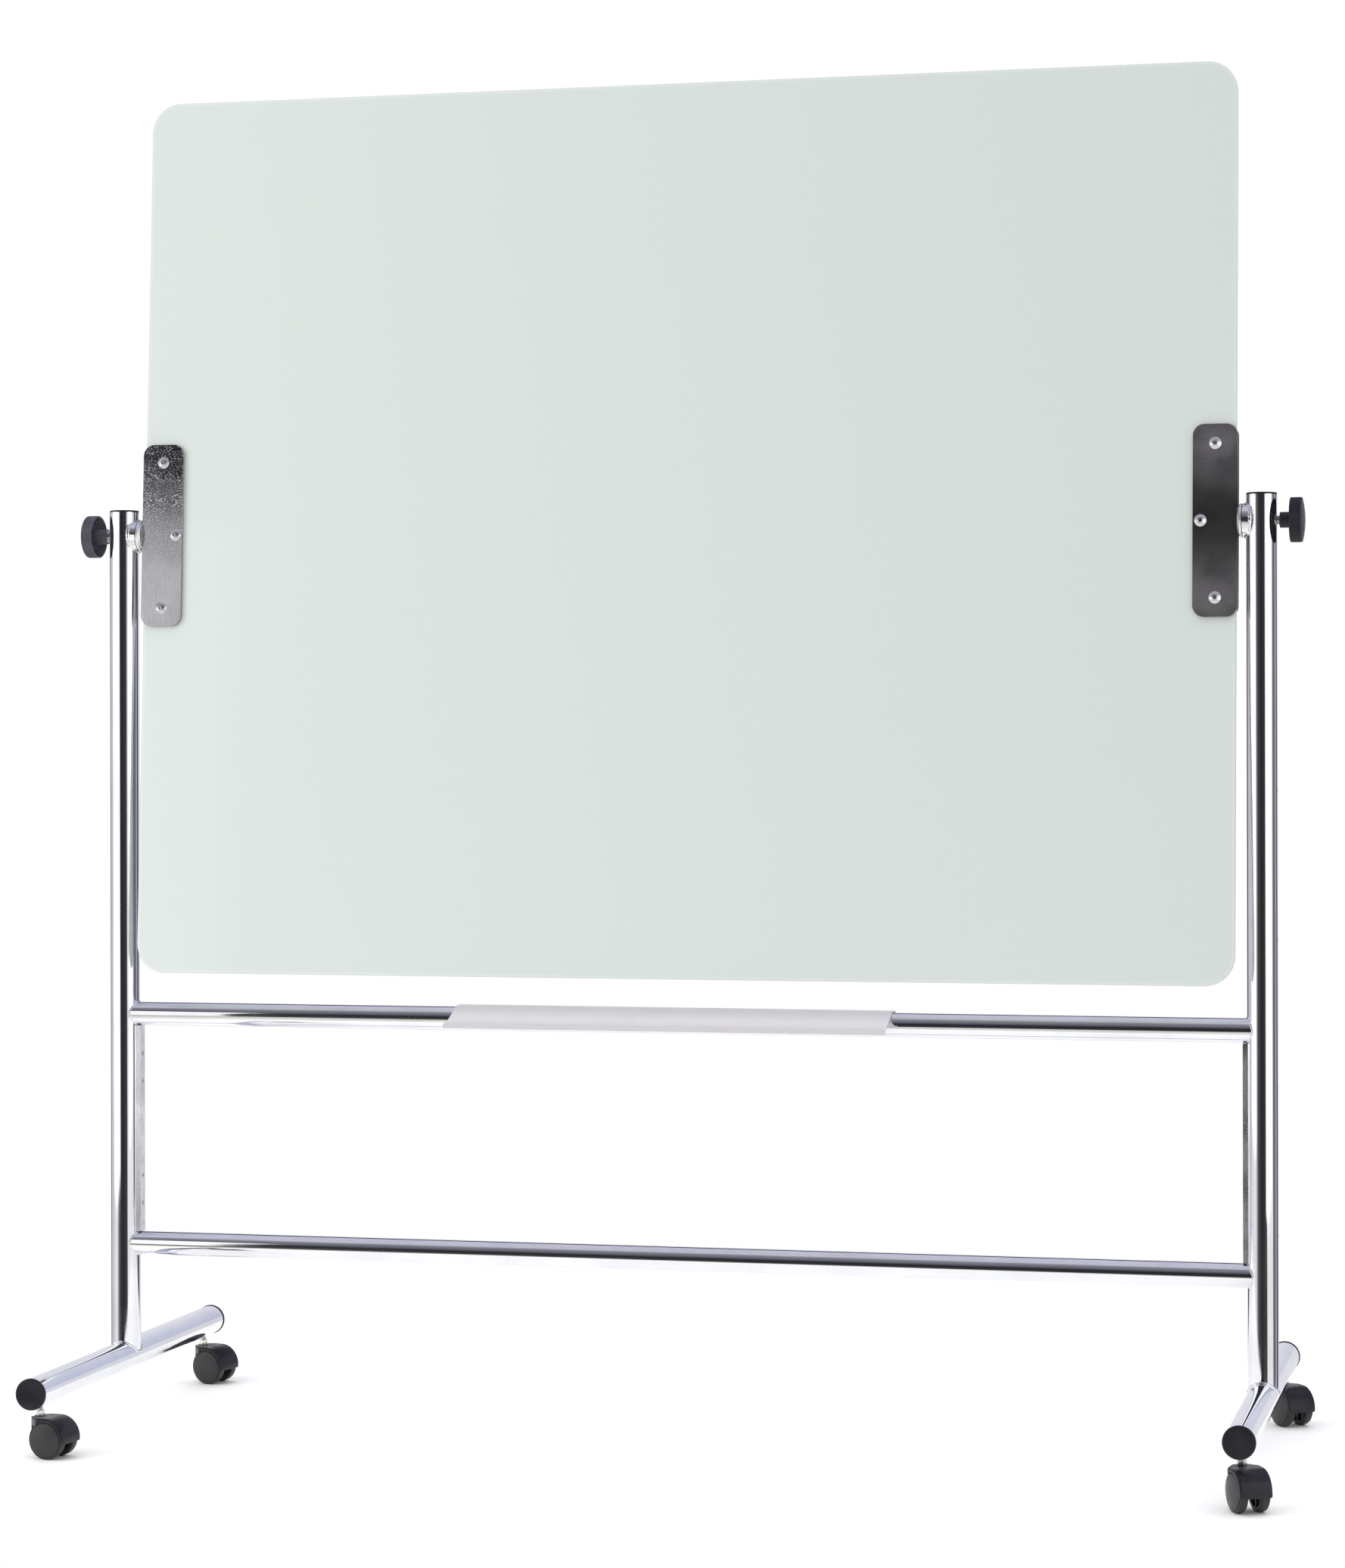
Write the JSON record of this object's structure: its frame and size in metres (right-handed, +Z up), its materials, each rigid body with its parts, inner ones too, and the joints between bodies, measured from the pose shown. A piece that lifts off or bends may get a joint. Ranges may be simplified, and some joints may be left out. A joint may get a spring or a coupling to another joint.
{
  "type": "mobile revolving writing board",
  "caption": "Double-sided glass writing board that turns end over end between chromed posts on castored feet, with a pen tray and clamping side knobs.",
  "frame": {"origin": "on the floor, midway between the two posts, under the board's pivot axis", "axes": "+X to the board's right as its user faces it, +Y to its back, +Z up"},
  "size_m": [1.6756, 0.6494, 1.8138],
  "materials": {
    "chrome_tube": "polished chrome plate",
    "chrome_plate": "chrome plate with a fine satin grain",
    "satin_steel": "satin plated strip",
    "zinc_steel": "bright zinc plate",
    "bronze": "sintered, oiled",
    "friction_ring": "matt",
    "black_plastic": "fine-textured moulding",
    "castor_plastic": "semi-gloss moulding",
    "wheel_nylon": "satin moulding",
    "tray_steel": "pale grey powder coat",
    "board_glass": "toughened, back painted pale grey green",
    "core_steel": "plain sheet",
    "gasket_rubber": "matt"
  },
  "bodies": {
    "stand": {"left_post": "chrome_tube", "left_foot_tube": "chrome_tube", "left_end_strip": "satin_steel", "left_fixed_collar": "chrome_tube", "left_pivot_bush": "bronze", "left_friction_washer": "friction_ring", "left_post_cap": "black_plastic", "left_front_foot_cap": "black_plastic", "left_back_foot_cap": "black_plastic", "right_post": "chrome_tube", "right_foot_tube": "chrome_tube", "right_end_strip": "satin_steel", "right_fixed_collar": "chrome_tube", "right_pivot_bush": "bronze", "right_friction_washer": "friction_ring", "right_post_cap": "black_plastic", "right_front_foot_cap": "black_plastic", "right_back_foot_cap": "black_plastic", "tray_bar": "chrome_tube", "lower_bar": "chrome_tube", "end_strip_screws": "zinc_steel", "pen_tray": "tray_steel", "pen_tray_screws": "zinc_steel", "castor_stems": "zinc_steel", "castor_nuts": "zinc_steel"},
    "panel": {"front_glass": "board_glass", "steel_core": "core_steel", "rear_glass": "board_glass", "front_gaskets": "gasket_rubber", "rear_gaskets": "gasket_rubber", "plate_bolts": "zinc_steel", "plate_barrel_nuts": "zinc_steel", "front_left_plate": "chrome_plate", "front_right_plate": "chrome_plate", "rear_left_plate": "chrome_plate", "rear_right_plate": "chrome_plate", "left_rotating_collar": "chrome_plate", "left_pivot_shaft": "zinc_steel", "right_rotating_collar": "chrome_plate", "right_pivot_shaft": "zinc_steel"},
    "left_knob_slide": {"left_knob_insert": "zinc_steel"},
    "left_knob": {"left_knob": "black_plastic"},
    "right_knob_slide": {"right_knob_insert": "zinc_steel"},
    "right_knob": {"right_knob": "black_plastic"},
    "left_front_castor": {"left_front_castor_hood": "castor_plastic", "left_front_castor_axle": "zinc_steel"},
    "left_front_wheel_1": {"left_front_castor_wheel_1": "wheel_nylon"},
    "left_front_wheel_2": {"left_front_castor_wheel_2": "wheel_nylon"},
    "left_back_castor": {"left_back_castor_hood": "castor_plastic", "left_back_castor_axle": "zinc_steel"},
    "left_back_wheel_1": {"left_back_castor_wheel_1": "wheel_nylon"},
    "left_back_wheel_2": {"left_back_castor_wheel_2": "wheel_nylon"},
    "right_front_castor": {"right_front_castor_hood": "castor_plastic", "right_front_castor_axle": "zinc_steel"},
    "right_front_wheel_1": {"right_front_castor_wheel_1": "wheel_nylon"},
    "right_front_wheel_2": {"right_front_castor_wheel_2": "wheel_nylon"},
    "right_back_castor": {"right_back_castor_hood": "castor_plastic", "right_back_castor_axle": "zinc_steel"},
    "right_back_wheel_1": {"right_back_castor_wheel_1": "wheel_nylon"},
    "right_back_wheel_2": {"right_back_castor_wheel_2": "wheel_nylon"}
  },
  "joints": [
    {"name": "board_turn", "type": "hinge", "parent": "stand", "child": "panel", "pos_m": [0, 0, 1.2145], "axis": [1, 0, 0], "continuous": true},
    {"name": "left_knob_travel", "type": "slide", "parent": "panel", "child": "left_knob_slide", "axis": [1, 0, 0], "range_m": [-0.00177, 0.00318]},
    {"name": "left_knob_turn", "type": "hinge", "parent": "left_knob_slide", "child": "left_knob", "pos_m": [-0.82, 0, 1.2145], "axis": [1, 0, 0], "range_deg": [-360, 650]},
    {"name": "right_knob_travel", "type": "slide", "parent": "panel", "child": "right_knob_slide", "axis": [1, 0, 0], "range_m": [-0.00318, 0.00177]},
    {"name": "right_knob_turn", "type": "hinge", "parent": "right_knob_slide", "child": "right_knob", "pos_m": [0.82, 0, 1.2145], "axis": [1, 0, 0], "range_deg": [-650, 360]},
    {"name": "left_front_swivel", "type": "hinge", "parent": "stand", "child": "left_front_castor", "pos_m": [-0.782, -0.283, 0.05], "axis": [0, 0, 1], "continuous": true},
    {"name": "left_front_roll_1", "type": "hinge", "parent": "left_front_castor", "child": "left_front_wheel_1", "pos_m": [-0.7623, -0.28647, 0.025], "axis": [0.1736, 0.9848, 0], "continuous": true},
    {"name": "left_front_roll_2", "type": "hinge", "parent": "left_front_castor", "child": "left_front_wheel_2", "pos_m": [-0.7623, -0.28647, 0.025], "axis": [0.1736, 0.9848, 0], "continuous": true},
    {"name": "left_back_swivel", "type": "hinge", "parent": "stand", "child": "left_back_castor", "pos_m": [-0.782, 0.283, 0.05], "axis": [0, 0, 1], "continuous": true},
    {"name": "left_back_roll_1", "type": "hinge", "parent": "left_back_castor", "child": "left_back_wheel_1", "pos_m": [-0.76268, 0.27782, 0.025], "axis": [0.2588, 0.9659, 0], "continuous": true},
    {"name": "left_back_roll_2", "type": "hinge", "parent": "left_back_castor", "child": "left_back_wheel_2", "pos_m": [-0.76268, 0.27782, 0.025], "axis": [0.2588, 0.9659, 0], "continuous": true},
    {"name": "right_front_swivel", "type": "hinge", "parent": "stand", "child": "right_front_castor", "pos_m": [0.782, -0.283, 0.05], "axis": [0, 0, 1], "continuous": true},
    {"name": "right_front_roll_1", "type": "hinge", "parent": "right_front_castor", "child": "right_front_wheel_1", "pos_m": [0.79139, -0.30066, 0.025], "axis": [0.8829, 0.4695, 0], "continuous": true},
    {"name": "right_front_roll_2", "type": "hinge", "parent": "right_front_castor", "child": "right_front_wheel_2", "pos_m": [0.79139, -0.30066, 0.025], "axis": [0.8829, 0.4695, 0], "continuous": true},
    {"name": "right_back_swivel", "type": "hinge", "parent": "stand", "child": "right_back_castor", "pos_m": [0.782, 0.283, 0.05], "axis": [0, 0, 1], "continuous": true},
    {"name": "right_back_roll_1", "type": "hinge", "parent": "right_back_castor", "child": "right_back_wheel_1", "pos_m": [0.79431, 0.26724, 0.025], "axis": [0.788, 0.6157, 0], "continuous": true},
    {"name": "right_back_roll_2", "type": "hinge", "parent": "right_back_castor", "child": "right_back_wheel_2", "pos_m": [0.79431, 0.26724, 0.025], "axis": [0.788, 0.6157, 0], "continuous": true}
  ],
  "couplings": [
    {"joint": "left_knob_travel", "follows": "left_knob_turn", "m_per_rad": 0.00027852},
    {"joint": "right_knob_travel", "follows": "right_knob_turn", "m_per_rad": 0.00027852}
  ]
}
